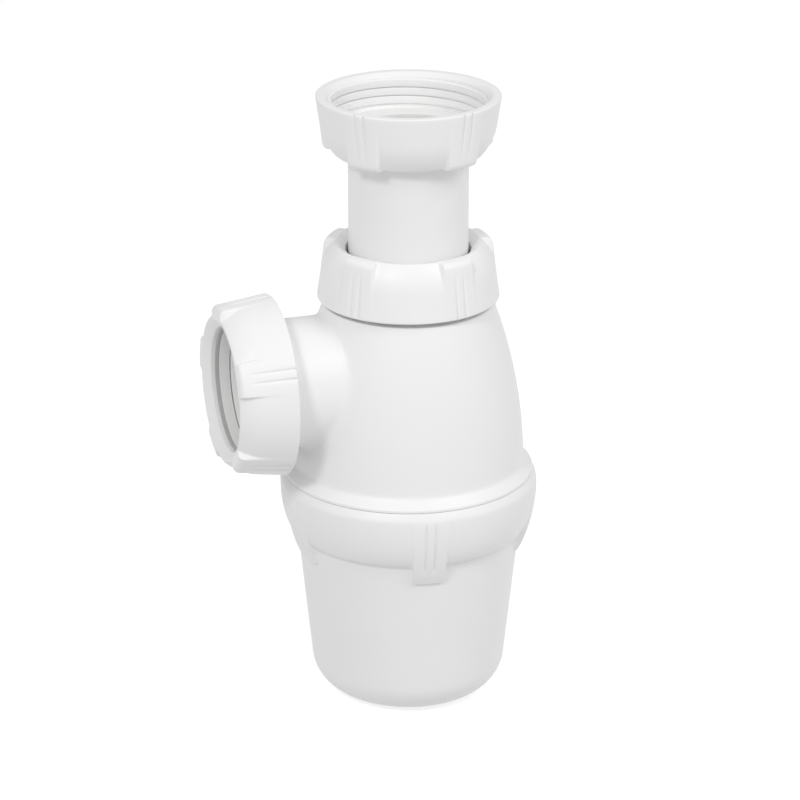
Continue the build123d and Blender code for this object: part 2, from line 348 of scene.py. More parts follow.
def copy_round(piece):
    """Copies one fifth of a piece round the Z axis until the ring is full."""
    take(piece)
    bpy.ops.object.mode_set(mode="EDIT")
    bpy.ops.mesh.select_all(action="SELECT")
    for copy in range(PADS - 1):
        bpy.ops.mesh.duplicate()
        bpy.ops.transform.rotate(value=math.radians(FIFTH), orient_axis="Z", center_override=(0, 0, 0))


def gripped(name, sections, closed, rim_r, pad_half):
    """A turned piece with grip pads, from its plain, padded and grooved sections."""
    forms = []
    for form, points in sections.items():
        forms.append(draw_section(form, points, closed))
        spin_to(pad_stops(rim_r, pad_half))
    piece = forms[0]
    mix_forms(piece, forms[1:], rim_r, pad_half)
    delete(forms[1:])
    piece.name = name
    copy_round(piece)
    close_up(piece)
    print(name, "gripped,", len(piece.data.polygons), "faces")
    return piece


def pads_at(turn):
    """Turns a piece about its own axis so that a pad's middle comes to an angle."""
    return Matrix.Rotation(math.radians(turn - PAD_MIDDLE), 4, "Z")


# %% [markdown]
# ## Nuts
#
# A nut is a crowned ring with a chamfered mouth, a thread inside and a brow round its dished hole. Its
# pads start flush at the wide end, stand proud towards the small end and end square beside the brow. A
# cylinder with insets and bevels would give the ring but not the crown, so the nut is drawn as a
# section. The upper nut is a little longer than the two slip nuts, so one function draws them all.

# %% Sizes of a nut
HOLE_R = 16.8
NUT_PLAIN_R = 19.7
NUT_THREAD_R = 21.0
NUT_RIM_R = 24.5
NUT_TAPER = 1.1
NUT_CROWN_START = 7.5
NUT_FACE_R = HOLE_R + 3.0
NUT_BROW_R = HOLE_R + 2.3
NUT_DISH = 1.8
NUT_LEAD_IN = 1.2
NUT_PAD_HALF = 5.2
NUT_PAD_LEAN = 1.7
NUT_PAD_SHOULDER = 1.6
NUT_PAD_EAR = 0.1
NUT_EAR_R = HOLE_R + 4.5
NUT_GROOVE_LENGTH = 11.8
NUT_GROOVE_DEPTH = 0.6
NUT_EDGE = 0.5
SIDE_POINTS = 6
CROWN_POINTS = 12
EAR_POINTS = CROWN_POINTS // 2
HALF_BEND = 3
print("a nut is", 2 * NUT_RIM_R, "mm across its rim and", 2 * NUT_BROW_R, "mm across its brow")


# %% The three sections of a nut
def nut_inside(length, thread_depth, floor):
    """Corners from the hole, along the stepped inside, to the rim of the wide end."""
    return [
        (HOLE_R, length - NUT_DISH, 0.25),
        (HOLE_R, floor, 0.2),
        (NUT_PLAIN_R, floor, 0.2),
        (NUT_PLAIN_R, thread_depth, 0.15),
        (NUT_THREAD_R, thread_depth, 0.15),
        (NUT_THREAD_R, NUT_LEAD_IN, 0.3),
        (NUT_THREAD_R + NUT_LEAD_IN, 0, 0.25),
        (NUT_RIM_R, 0, NUT_EDGE),
    ]


def brow(outer_r, top, edge):
    """Corners across the small end, from its outer edge to the dish."""
    return [
        (outer_r, top, edge),
        ((outer_r + NUT_BROW_R) / 2, top, 0.05),
        (NUT_BROW_R, top, 0.25),
    ]


def nut_side(length):
    """Corners of the outside between the pads: a tapered side, the crown and the brow."""
    rim = Vector((NUT_RIM_R, 0))
    lean = Vector((-NUT_TAPER, NUT_CROWN_START))
    side = [rim + lean * ((k + 1) / SIDE_POINTS) for k in range(SIDE_POINTS)]
    crown_foot = (NUT_RIM_R - NUT_TAPER, NUT_CROWN_START)
    crown = tangent_arc(crown_foot, (NUT_FACE_R, length), lean, CROWN_POINTS)
    return plain(side + crown[:-1]) + brow(NUT_FACE_R, length, 0.35)


def nut_pad(length):
    """Corners of the outside along a pad: a straight face, a rounded ear and the brow."""
    rim = Vector((NUT_RIM_R, 0))
    shoulder = Vector((NUT_RIM_R - NUT_PAD_LEAN, length - NUT_PAD_SHOULDER))
    lean = shoulder - rim
    face_points = SIDE_POINTS + CROWN_POINTS - EAR_POINTS
    face = [rim + lean * ((k + 1) / face_points) for k in range(face_points)]
    ear_top = length + NUT_PAD_EAR
    ear = tangent_arc(shoulder, (NUT_EAR_R, ear_top), lean, EAR_POINTS)
    return plain(face + ear[:-1]) + brow(NUT_EAR_R, ear_top, 0.3)


def nut_sections(length, thread_depth, floor):
    """Plain, padded and grooved sections of a nut, measured from its wide end.

    The grooves open in the middle of the rim's bend and fade out towards the small end.
    """
    inside = nut_inside(length, thread_depth, floor)
    plain_section = soft_path(inside + nut_side(length))
    padded_section = soft_path(inside + nut_pad(length))
    first_outside = len(soft_path(inside)) - HALF_BEND
    grooved_section = []
    for index, (bare, pad) in enumerate(zip(plain_section, padded_section)):
        share = share_of(NUT_GROOVE_LENGTH - pad.y, NUT_GROOVE_LENGTH)
        depth = NUT_GROOVE_DEPTH * math.sqrt(share) if index >= first_outside else 0
        grooved_section.append(bare - Vector((depth, 0)))
    return {"plain": plain_section, "padded": padded_section, "grooved": grooved_section}


# %% Turn the slip nut once, copy it for the outlet, and turn the upper nut
slip_sections = nut_sections(length=15.1, thread_depth=9.9, floor=12.0)
neck_nut = gripped("neck_nut_moulding", slip_sections, True, NUT_RIM_R, NUT_PAD_HALF)
take(neck_nut)
bpy.ops.object.duplicate()
outlet_nut = bpy.context.object
outlet_nut.name = "outlet_nut_moulding"
inlet_sections = nut_sections(length=15.3, thread_depth=9.4, floor=12.6)
inlet_nut = gripped("inlet_nut_moulding", inlet_sections, True, NUT_RIM_R, NUT_PAD_HALF)

# %% [markdown]
# The neck nut stands on the bottle with its wide end down, the upper nut is turned over so that its
# wide end is up, and the outlet nut lies along X. Each is also turned about its own axis, so that its
# pads come where they are seen.

# %% Set the nuts in place
NECK_PAD_AT = 35.7
INLET_PAD_AT = -39.8
OUTLET_PAD_AT = 26.3
neck_place = Matrix.Translation((0, 0, NECK_NUT_Z * MM))
inlet_place = Matrix.Translation((0, 0, INLET_TOP * MM)) @ Matrix.Rotation(math.pi, 4, "X")
outlet_place = Matrix((
    (0, 0, 1, OUTLET_X * MM),
    (1, 0, 0, 0),
    (0, 1, 0, OUTLET_Z * MM),
    (0, 0, 0, 1),
))
set_in_place(neck_nut, neck_place @ pads_at(NECK_PAD_AT))
set_in_place(inlet_nut, inlet_place @ pads_at(INLET_PAD_AT))
set_in_place(outlet_nut, outlet_place @ pads_at(OUTLET_PAD_AT))
fit(neck_nut, "neck_nut", "white_plastic", "neck_nut")
fit(inlet_nut, "inlet_nut", "white_plastic", "inlet_nut")
fit(outlet_nut, "outlet_nut", "white_plastic", "outlet_nut")
print("nuts set: neck at", NECK_NUT_Z, "mm, upper rim at", INLET_TOP, "mm, outlet at", OUTLET_X, "mm")

# %% [markdown]
# ## Cup
#
# The cup is a tapered pot with a well-rounded foot and a bulging collar that screws onto the skirt. Its
# pads hang down from the collar like short tongues. Underneath, a small dimple keeps the stub of the
# moulding gate off the bench. It is drawn like a nut, but its section starts and ends on the axis, so
# it isn't closed: the outside comes up in three stretches, and the inside goes back down.

# %% The outside of the cup below its collar
CUP_LEAN = math.tan(math.radians(5.9))
CUP_BASE_R = 25.65
CUP_WALL = 2.0
GATE_R = 1.2
GATE_Z = 0.25
DIMPLE_R = 3.6
DIMPLE_DEPTH = 0.6
FOOT_FLAT_R = 16.36
FOOT_TOP_R = 26.6
FOOT_TOP = 9.24
FOOT_POINTS = 16
SIDE_ROWS = (14, 20, 26, 32, 37, 40.5, 41.5)


def cup_side(z):
    """Radius of the cup's tapered side at a height."""
    return CUP_BASE_R + z * CUP_LEAN


def side_points(rows):
    """Points of the cup's tapered side at the heights given."""
    return [Vector((cup_side(z), z)) for z in rows]


gate = [
    (0, GATE_Z, 0),
    (GATE_R, GATE_Z, 0.15),
    (GATE_R + 0.1, DIMPLE_DEPTH, 0.1),
    (DIMPLE_R, DIMPLE_DEPTH, 0.2),
    (DIMPLE_R + DIMPLE_DEPTH, 0, 0.25),
]
foot_flat = Vector((FOOT_FLAT_R, 0))
foot = [foot_flat] + tangent_arc(foot_flat, (FOOT_TOP_R, FOOT_TOP), (1, 0), FOOT_POINTS)
below = gate + plain(foot + side_points(SIDE_ROWS))
print("cup below its collar:", len(below), "corners")

# %% The bulge of the collar, bare and with a tongue
COLLAR_FOOT = 47.6
COLLAR_WIDEST = 60.6
COLLAR_R = 35.0
BULGE_POINTS = 14
BARE_ROWS = (41.9, 42.8, 43.7, 44.6, 45.5, 46.3, 47.0)
CUP_PAD_FOOT = 42.5
CUP_PAD_R = 35.12
CUP_PAD_HALF = 4.95
CUP_PAD_STEP = 0.9
TONGUE_POINTS = 20

collar_foot_r = cup_side(COLLAR_FOOT)
bulge = []
for step in range(1, BULGE_POINTS + 1):
    turn = math.radians(270 + 90 * step / BULGE_POINTS)
    out = (COLLAR_R - collar_foot_r) * math.cos(turn)
    rise = (COLLAR_WIDEST - COLLAR_FOOT) * math.sin(turn)
    bulge.append(Vector((collar_foot_r + out, COLLAR_WIDEST + rise)))
bare_middle = plain(side_points(BARE_ROWS)) + [(collar_foot_r, COLLAR_FOOT, 0.4)] + plain(bulge)
step_r = cup_side(CUP_PAD_FOOT)
tongue_r = step_r + CUP_PAD_STEP
tongue_foot = side_points((CUP_PAD_FOOT - 0.6, CUP_PAD_FOOT - 0.25)) + [
    Vector((step_r + 0.07, CUP_PAD_FOOT - 0.08)),
    Vector((step_r + 0.35, CUP_PAD_FOOT - 0.02)),
    Vector((tongue_r - 0.3, CUP_PAD_FOOT + 0.02)),
    Vector((tongue_r - 0.08, CUP_PAD_FOOT + 0.12)),
    Vector((tongue_r + 0.05, CUP_PAD_FOOT + 0.45)),
]
tongue_top = Vector((CUP_PAD_R, COLLAR_WIDEST))
tongue_arc = tangent_arc(tongue_top, (tongue_r, CUP_PAD_FOOT), (0, -1), TONGUE_POINTS)
tongue_face = [tongue_top] + tongue_arc[:-2]
padded_middle = plain(tongue_foot + tongue_face[::-1])
print("collar:", len(bare_middle), "corners bare,", len(padded_middle), "with a tongue")

# %% The top of the collar and the inside of the cup
COLLAR_TOP = 64.3
COLLAR_BEVEL = 1.1
COLLAR_BEVEL_HEIGHT = 2.1
COLLAR_BORE_R = 31.5
GASKET_Z = 49.6
INNER_FOOT_R = 24.63
INNER_FOOT_TOP = 9.45
INNER_FLAT_R = 16.37
INNER_FOOT_POINTS = 12

inner_start = (INNER_FOOT_R, INNER_FOOT_TOP)
inner_foot = tangent_arc(inner_start, (INNER_FLAT_R, CUP_WALL), (-CUP_LEAN, -1), INNER_FOOT_POINTS)
above = [
    (COLLAR_R, COLLAR_TOP - COLLAR_BEVEL_HEIGHT, 0.6),
    (COLLAR_R - COLLAR_BEVEL, COLLAR_TOP, 0.15),
    (COLLAR_BORE_R, COLLAR_TOP, 0.4),
    (COLLAR_BORE_R, GASKET_Z, 0.2),
    (cup_side(GASKET_Z) - CUP_WALL, GASKET_Z, 0.3),
    (INNER_FOOT_R, INNER_FOOT_TOP, 0),
] + plain(inner_foot) + [(0, CUP_WALL, 0)]
cup_plain = soft_path(below + bare_middle + above)
cup_padded = soft_path(below + padded_middle + above)
print("cup sections:", len(cup_plain), "and", len(cup_padded), "points")

# %% Cut the grooves into the third section and turn the cup
CUP_GROOVE_FOOT = 46.5
CUP_GROOVE_DEPTH = 0.5
CUP_GROOVE_FADE = 0.8
CUP_PAD_AT = 82.0

first_middle = len(soft_path(below))
first_above = first_middle + len(soft_path(bare_middle))
cup_grooved = []
for index, (bare, pad) in enumerate(zip(cup_plain, cup_padded)):
    open_foot = share_of(pad.y - CUP_GROOVE_FOOT, CUP_GROOVE_FADE)
    open_top = share_of(COLLAR_WIDEST + CUP_GROOVE_FADE / 2 - pad.y, CUP_GROOVE_FADE)
    depth = CUP_GROOVE_DEPTH * open_foot * open_top if first_middle <= index < first_above else 0
    cup_grooved.append(bare - Vector((depth, 0)))
cup_sections = {"plain": cup_plain, "padded": cup_padded, "grooved": cup_grooved}
cup = gripped("cup_moulding", cup_sections, False, COLLAR_R, CUP_PAD_HALF)
set_in_place(cup, pads_at(CUP_PAD_AT))
fit(cup, "cup", "white_plastic", "cup")

# %% [markdown]
# ## Bottle
#
# The bottle is one moulding: a threaded skirt, a ledge, the domed side, the neck, the dip tube inside
# and the outlet stub. All but the stub is turned from one closed section. The stub could be joined by a
# boolean, but that leaves a ragged edge that shades badly. So a window is cut into the turned faces
# where the stub leaves the dome, and the join gets clean faces of its own.

# %% Sizes of the bottle
BELLY_R = 31.45
BELLY_Z = 65.6
SHOULDER_R = 22.8
SHOULDER_Z = 112.4
BODY_WALL = 2.2
SKIRT_R = 30.2
SKIRT_WALL = 2.0
SKIRT_FOOT = 51.6
LEDGE_R = 33.9
LEDGE_Z = 64.6
LEDGE_DROP = 0.15
LEDGE_EDGE = 0.5
FLARE_TOP = 67.55
FLARE_ROWS = [69.2, 70.2, 71.1]
WINDOW_LOW = 72
WINDOW_HIGH = 112
DIP_R = 18.4
DIP_FOOT = 29.2
ROOF_Z = 107.6
BOTTLE_STEPS = 192
dome_rise = SHOULDER_Z - BELLY_Z
dome_inset = BELLY_R - SHOULDER_R
DOME_R = (dome_rise ** 2 + dome_inset ** 2) / (2 * dome_inset)
print("the dome bends at a radius of", round(DOME_R, 1), "mm")


# %% Draw the section and turn the bottle without its stub
def dome(z, wall=0):
    """Radius of the domed side at a height, or of its inside with a wall."""
    return BELLY_R - DOME_R + math.sqrt((DOME_R - wall) ** 2 - (z - BELLY_Z) ** 2)


def mouth_corners(top):
    """Corners of a threaded mouth: its rim, and the conical seat for the seal inside it."""
    return [
        (THREAD_ROOT_R, top, 0.4),
        (MOUTH_R, top, 0.2),
        (SEAT_R, top - SEAT_DEPTH, 0.1),
        (BORE_R, top - SEAT_DEPTH, 0.2),
    ]


bottle_corners = [
    (SKIRT_R, SKIRT_FOOT, 0.4),
    (SKIRT_R, LEDGE_Z - LEDGE_DROP, 0.15),
    (LEDGE_R, LEDGE_Z - LEDGE_DROP, 0.06),
    (LEDGE_R, LEDGE_Z + LEDGE_EDGE, 0.25),
    (dome(FLARE_TOP), FLARE_TOP, 0.8),
]
outside_rows = FLARE_ROWS + list(range(WINDOW_LOW, WINDOW_HIGH + 1))
bottle_corners += [(dome(z), z, 0) for z in outside_rows]
bottle_corners += [(SHOULDER_R, SHOULDER_Z, 0.3), (THREAD_ROOT_R, SHOULDER_Z, 0.4)]
bottle_corners += mouth_corners(NECK_NUT_Z + MOUTH)
bottle_corners += [
    (BORE_R, DIP_FOOT, 0.3),
    (DIP_R, DIP_FOOT, 0.3),
    (DIP_R, ROOF_Z, 0.8),
    (dome(ROOF_Z, BODY_WALL), ROOF_Z, 0.8),
]
inside_rows = range(105, 66, -2)
bottle_corners += [(dome(z, BODY_WALL), z, 0) for z in inside_rows]
bottle_corners += [
    (BELLY_R - BODY_WALL, BELLY_Z, 0),
    (SKIRT_R - SKIRT_WALL, LEDGE_Z, 0.2),
    (SKIRT_R - SKIRT_WALL, SKIRT_FOOT, 0.3),
]
bottle = turned("bottle_moulding", bottle_corners, BOTTLE_STEPS)

# %% Cut the window for the stub
WINDOW_COLUMNS = 26
window_turn = WINDOW_COLUMNS * 360 / BOTTLE_STEPS
take(bottle)
bpy.ops.object.mode_set(mode="EDIT")
bpy.ops.mesh.select_mode(type="FACE")
bpy.ops.mesh.select_all(action="DESELECT")
bpy.ops.object.mode_set(mode="OBJECT")
whole = len(bottle.data.polygons)
for face in bottle.data.polygons:
    x, y, z = face.center / MM
    in_height = WINDOW_LOW < z < WINDOW_HIGH
    in_turn = abs(math.degrees(math.atan2(y, x))) < window_turn
    if in_height and in_turn:
        face.select = math.hypot(x, y) > dome(z, BODY_WALL / 2)
bpy.ops.object.mode_set(mode="EDIT")
bpy.ops.mesh.delete(type="FACE")
bpy.ops.object.mode_set(mode="OBJECT")
print("window cut,", whole - len(bottle.data.polygons), "faces taken out")

# %% [markdown]
# The window's edge is then extruded inwards, loop by loop. The first loops stay on the dome and draw in
# to a ring round the stub's root, the next ones bend outwards as a fillet, and so every face of the
# join runs in line with its neighbours. A bridge between the window and a ring would have twisted at
# the corners.

# %% Where the loops of the join lie
STUB_R = 17.3
ROOT_EASE = 1.5
ROOT_R = STUB_R + ROOT_EASE
PATCH_LOOPS = 5
ROOT_LOOPS = 6


def on_dome(radius, turn):
    """The point of the dome at a distance from the outlet's axis, in a direction round that axis."""
    y = radius * math.cos(turn)
    z = OUTLET_Z + radius * math.sin(turn)
    return Vector((math.sqrt(dome(z) ** 2 - y ** 2), y, z))


def root_bend(turn, t):
    """A point of the fillet, from t = 0 on the dome to t = 1 on the stub."""
    start = on_dome(ROOT_R, turn)
    corner = on_dome(STUB_R, turn)
    end = corner + Vector((ROOT_EASE, 0, 0))
    return start * (1 - t) ** 2 + corner * 2 * t * (1 - t) + end * t ** 2


def extrude_edge(piece, place):
    """Extrudes the selected edge and puts each new point where place says.

    place takes the point's distance from the outlet's axis and its direction round that axis.
    """
    bpy.ops.mesh.extrude_region_move()
    bpy.ops.object.mode_set(mode="OBJECT")
    for vertex in piece.data.vertices:
        if vertex.select:
            away = vertex.co / MM - Vector((0, 0, OUTLET_Z))
            vertex.co = place(math.hypot(away.y, away.z), math.atan2(away.z, away.y)) * MM
    bpy.ops.object.mode_set(mode="EDIT")


# %% Extrude the window's edge over the dome and bend it into the stub's root
take(bottle)
bpy.ops.object.mode_set(mode="EDIT")
bpy.ops.mesh.select_mode(type="EDGE")
bpy.ops.mesh.select_all(action="DESELECT")
bpy.ops.mesh.select_non_manifold(use_multi_face=False, use_non_contiguous=False, use_verts=False)
for loop in range(PATCH_LOOPS):
    share = 1 / (PATCH_LOOPS - loop)
    extrude_edge(bottle, lambda radius, turn: on_dome(radius + (ROOT_R - radius) * share, turn))
for loop in range(ROOT_LOOPS):
    t = (loop + 1) / ROOT_LOOPS
    extrude_edge(bottle, lambda radius, turn: root_bend(turn, t))
print("root of the stub:", len(bottle.data.polygons), "faces")

# %% [markdown]
# From its root the stub is extruded ring by ring: out along its side, over the mouth, down the seal's
# seat and into the socket. Scaling each new ring to nothing along X, about a point on the axis, makes
# it flat and puts it in its place in one move.

# %% Extrude the stub
STUB_START = -4
WIDENS_FROM = 0.2
WIDENS_TO = 2.4
SOCKET_FLOOR = 0.6
stub_path = soft_path([
    (STUB_R, STUB_START, 0),
    (STUB_R, WIDENS_FROM, 0.4),
    (THREAD_ROOT_R, WIDENS_TO, 0.4),
] + mouth_corners(MOUTH) + [(BORE_R, SOCKET_FLOOR, 0)])
ring_r = STUB_R
for point in stub_path:
    grow = point.x / ring_r
    centre = ((OUTLET_X + point.y) * MM, 0, OUTLET_Z * MM)
    bpy.ops.mesh.extrude_region_move()
    bpy.ops.transform.resize(value=(0, grow, grow), center_override=centre)
    ring_r = point.x
bpy.ops.mesh.edge_face_add()
bpy.ops.object.mode_set(mode="OBJECT")
print("stub extruded in", len(stub_path), "rings")

# %% [markdown]
# The socket's floor is still closed. A boolean drills the waterway through it and through the inner
# face of the bottle behind it, as a core pin does in the mould. Here a boolean is the right tool,
# because the edges that it leaves lie deep in the socket.

# %% Bore the waterway through the stub into the bottle
WATERWAY_R = 14.0
WATERWAY_FROM = 19.0
waterway_to = OUTLET_X + SOCKET_FLOOR + 0.5
start_clean()
bpy.ops.mesh.primitive_cylinder_add(
    vertices=128,
    radius=WATERWAY_R * MM,
    depth=(waterway_to - WATERWAY_FROM) * MM,
    location=((waterway_to + WATERWAY_FROM) / 2 * MM, 0, OUTLET_Z * MM),
    rotation=(0, math.pi / 2, 0),
)
drill = bpy.context.object
take(bottle)
bore = bottle.modifiers.new("waterway", "BOOLEAN")
bore.operation = "DIFFERENCE"
bore.solver = "EXACT"
bore.object = drill
bpy.ops.object.modifier_apply(modifier=bore.name)
delete([drill])
close_up(bottle)
fit(bottle, "bottle", "white_plastic", "trap_body")
print("bottle:", len(bottle.data.polygons), "faces")

# %% [markdown]
# ## Tube, seals, washers and gaskets
#
# The tube is a plain turned pipe with a flange at the top. The slip joints hide a conical rubber seal
# and a hard washer each; flat rubber gaskets lie on the flange and under the skirt. A cylinder with a
# hole would look like a stand-in, so these small pieces are turned with eased edges too.

# %% Turn the tube and the flat gaskets
PIPE_R = 16.0
TUBE_BORE_R = 14.2
TUBE_FOOT = 75.3
FLANGE_R = 19.5
FLANGE_FOOT = 156.8
FLANGE_TOP = 158.4
INLET_GASKET_TOP = 160.0
CUP_GASKET_BORE_R = 28.2
CUP_GASKET_R = 31.2


def ring_corners(inner_r, outer_r, low, high, edge):
    """Corners of a flat ring with the same easing on every edge."""
    return [(inner_r, low, edge), (outer_r, low, edge), (outer_r, high, edge), (inner_r, high, edge)]


tube = turned("tube_moulding", [
    (TUBE_BORE_R, TUBE_FOOT, 0.3),
    (PIPE_R, TUBE_FOOT, 0.6),
    (PIPE_R, FLANGE_FOOT, 0.3),
    (FLANGE_R, FLANGE_FOOT, 0.3),
    (FLANGE_R, FLANGE_TOP, 0.3),
    (TUBE_BORE_R, FLANGE_TOP, 0.4),
])
fit(tube, "tube", "white_plastic", "inlet_tube")
inlet_gasket_corners = ring_corners(TUBE_BORE_R, FLANGE_R, FLANGE_TOP, INLET_GASKET_TOP, 0.3)
inlet_gasket = turned("inlet_gasket_ring", inlet_gasket_corners)
fit(inlet_gasket, "tube", "seal_rubber", "inlet_gasket")
cup_gasket_corners = ring_corners(CUP_GASKET_BORE_R, CUP_GASKET_R, GASKET_Z, SKIRT_FOOT, 0.3)
cup_gasket = turned("cup_gasket_ring", cup_gasket_corners)
fit(cup_gasket, "cup_gasket", "seal_rubber", "cup_gasket")

# %% Turn the seal and the washer of each slip joint
SEAL_FOOT = MOUTH - SEAT_DEPTH + 0.3
SEAL_TOP = MOUTH + 1.4
SEAL_NOSE_R = 17.0
SEAL_CONE_R = 18.3
WASHER_BORE_R = 16.5
WASHER_TOP = SEAL_TOP + 1.0
seal_corners = [
    (BORE_R, SEAL_FOOT, 0.15),
    (SEAL_NOSE_R, SEAL_FOOT, 0.15),
    (SEAL_CONE_R, MOUTH, 0.15),
    (FLANGE_R, MOUTH, 0.2),
    (FLANGE_R, SEAL_TOP, 0.2),
    (BORE_R, SEAL_TOP, 0.2),
]
washer_corners = ring_corners(WASHER_BORE_R, FLANGE_R, SEAL_TOP, WASHER_TOP, 0.2)
for joint, place in (("neck", neck_place), ("outlet", outlet_place)):
    seal = turned(joint + "_seal_ring", seal_corners)
    set_in_place(seal, place)
    fit(seal, joint + "_rings", "seal_rubber", joint + "_seal")
    washer = turned(joint + "_washer_ring", washer_corners)
    set_in_place(washer, place)
    fit(washer, joint + "_rings", "white_plastic", joint + "_slip_washer")

# %% [markdown]
# ## Threads
#
# The solids stop at the root of each thread. A stack of rings would pass for a thread from afar, but it
# would not run out at its ends or screw. So a small ridge is swept up a helix by a Screw modifier:
# outwards on the neck, the stub and the skirt, inwards in the nuts and the collar. Each mating pair is
# half a pitch apart, so the ridges pass each other when the nut is turned.

# %% Helper for a thread ridge
HELIX_STEPS = 96
BURIED = 0.3


def thread(name, place, pitch, turns, start, root_r, crest_r, root_half, crest_half):
    """A right-hand thread ridge between its root and its crest, starting at a height on the axis."""
    buried_r = root_r + (BURIED if crest_r < root_r else -BURIED)
    ridge = draw_section(name, soft_path([
        (buried_r, start - root_half, 0),
        (root_r, start - root_half, 0.08),
        (crest_r, start - crest_half, 0.12),
        (crest_r, start + crest_half, 0.12),
        (root_r, start + root_half, 0.08),
        (buried_r, start + root_half, 0),
    ], bends=2))
    bpy.ops.object.mode_set(mode="OBJECT")
    sweep = ridge.modifiers.new("helix", "SCREW")
    sweep.axis = "Z"
    sweep.angle = 2 * math.pi * turns
    sweep.screw_offset = pitch * turns * MM
    sweep.steps = sweep.render_steps = round(HELIX_STEPS * turns)
    sweep.use_smooth_shade = True
    bpy.ops.object.modifier_apply(modifier=sweep.name)
    bpy.ops.object.mode_set(mode="EDIT")
    bpy.ops.mesh.select_all(action="SELECT")
    bpy.ops.mesh.fill_holes(sides=0)
    close_up(ridge)
    set_in_place(ridge, place)
    print(name, "swept,", len(ridge.data.polygons), "faces")
    return ridge


# %% Sweep the threads of the slip joints and the upper nut
PITCH = 2.309
MALE_START = 0.9
for joint, place in (("neck", neck_place), ("outlet", outlet_place)):
    male = thread(
        joint + "_thread", place, PITCH, turns=3.25, start=MALE_START,
        root_r=THREAD_ROOT_R, crest_r=20.75, root_half=0.55, crest_half=0.25,
    )
    fit(male, "bottle", "white_plastic")
    female = thread(
        joint + "_nut_thread", place, PITCH, turns=3, start=MALE_START + PITCH / 2,
        root_r=NUT_THREAD_R, crest_r=19.75, root_half=0.75, crest_half=0.45,
    )
    fit(female, joint + "_nut", "white_plastic")
inlet_thread = thread(
    "inlet_nut_thread", inlet_place, PITCH, turns=2.75, start=2.12,
    root_r=NUT_THREAD_R, crest_r=20.4, root_half=1.06, crest_half=0.92,
)
fit(inlet_thread, "inlet_nut", "white_plastic")

# %% Sweep the threads of the skirt and the cup
CUP_PITCH = 4.0
SKIRT_START = 53.4
upright = Matrix.Identity(4)
skirt_thread = thread(
    "skirt_thread", upright, CUP_PITCH, turns=2.25, start=SKIRT_START,
    root_r=SKIRT_R, crest_r=31.2, root_half=0.9, crest_half=0.5,
)
fit(skirt_thread, "bottle", "white_plastic")
cup_thread = thread(
    "cup_thread", upright, CUP_PITCH, turns=1.75, start=SKIRT_START + CUP_PITCH / 2,
    root_r=COLLAR_BORE_R, crest_r=30.5, root_half=0.9, crest_half=0.5,
)
fit(cup_thread, "cup", "white_plastic")

# %% [markdown]
# ## Plastic and rubber
#
# The trap is moulded in white polypropylene with a satin skin. Its colour drifts a little, its gloss is
# broken by a fine grain, and thick places sink slightly as they cool. The washers are given a darker
# grey than the plastic, as painted shade for the dark ring deep inside the slip joints, and the seals
# and gaskets are a white rubber with less gloss. One flat colour would look like a drawing, and a
# picture texture would need a map for every piece. So noise does it all, and it reads Object
# coordinates, which are metres here, so that the grain keeps its size on every piece.

# %% Helper for a moulded material
CLOUD_SIZE = 0.022
SINK_SIZE = 0.012


def moulded(name, colour, drift, gloss, grain_size, grain_height, sink_height):
    """A moulded material: colour drift, uneven gloss, fine grain and shallow sink marks."""
    material = bpy.data.materials.new(name)
    material.use_nodes = True
    nodes = material.node_tree.nodes
    links = material.node_tree.links
    skin = nodes["Principled BSDF"]
    where = nodes.new("ShaderNodeTexCoord")

    def noise(size, detail):
        node = nodes.new("ShaderNodeTexNoise")
        node.inputs["Scale"].default_value = 1 / size
        node.inputs["Detail"].default_value = detail
        links.new(where.outputs["Object"], node.inputs["Vector"])
        return node.outputs["Fac"]

    def spread(source, low, high):
        node = nodes.new("ShaderNodeMapRange")
        node.inputs["To Min"].default_value = low
        node.inputs["To Max"].default_value = high
        links.new(source, node.inputs["Value"])
        return node.outputs["Result"]

    def relief(source, height):
        node = nodes.new("ShaderNodeBump")
        node.inputs["Strength"].default_value = 1
        node.inputs["Distance"].default_value = height
        links.new(source, node.inputs["Height"])
        return node

    shade = nodes.new("ShaderNodeVectorMath")
    shade.operation = "SCALE"
    shade.inputs[0].default_value = colour
    links.new(spread(noise(CLOUD_SIZE, 2), 1 - drift, 1 + drift), shade.inputs["Scale"])
    links.new(shade.outputs["Vector"], skin.inputs["Base Color"])
    grain = noise(grain_size, 3)
    links.new(spread(grain, *gloss), skin.inputs["Roughness"])
    sink = relief(noise(SINK_SIZE, 1), sink_height)
    fine = relief(grain, grain_height)
    links.new(sink.outputs["Normal"], fine.inputs["Normal"])
    links.new(fine.outputs["Normal"], skin.inputs["Normal"])
    skin.inputs["IOR"].default_value = 1.49
    return material


# %% Give each piece its plastic or rubber
white = moulded(
    "satin_white_plastic", colour=(0.93, 0.93, 0.93), drift=0.012, gloss=(0.36, 0.50),
    grain_size=0.0006, grain_height=0.000004, sink_height=0.00002,
)
# The washers' darker grey is painted shade for the dark ring deep inside the slip joints.
washer_painted_shade = moulded(
    "washer_plastic_painted_shade", colour=(0.50, 0.50, 0.49), drift=0.02, gloss=(0.40, 0.55),
    grain_size=0.0006, grain_height=0.000004, sink_height=0.00002,
)
rubber = moulded(
    "white_seal_rubber", colour=(0.87, 0.87, 0.86), drift=0.02, gloss=(0.65, 0.80),
    grain_size=0.0004, grain_height=0.00001, sink_height=0.00002,
)
for piece in bpy.context.scene.objects:
    if piece.type == "MESH":
        finish = white
        if piece.get("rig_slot") == "seal_rubber":
            finish = rubber
        # Washers take the darker grey that paints the shade inside the slip joints.
        if "washer" in piece.name:
            finish = washer_painted_shade
        piece.data.materials.clear()
        piece.data.materials.append(finish)
print("materials:", white.name, washer_painted_shade.name, rubber.name)

# %% [markdown]
# ## Floor and surround
#
# The photograph is a high-key studio picture on pure white. A lit floor turns white only when the lamps
# are so strong that the trap burns out, so the floor glows a little by itself. It sends no light back
# to the trap, because that would take away the shade on the undersides.

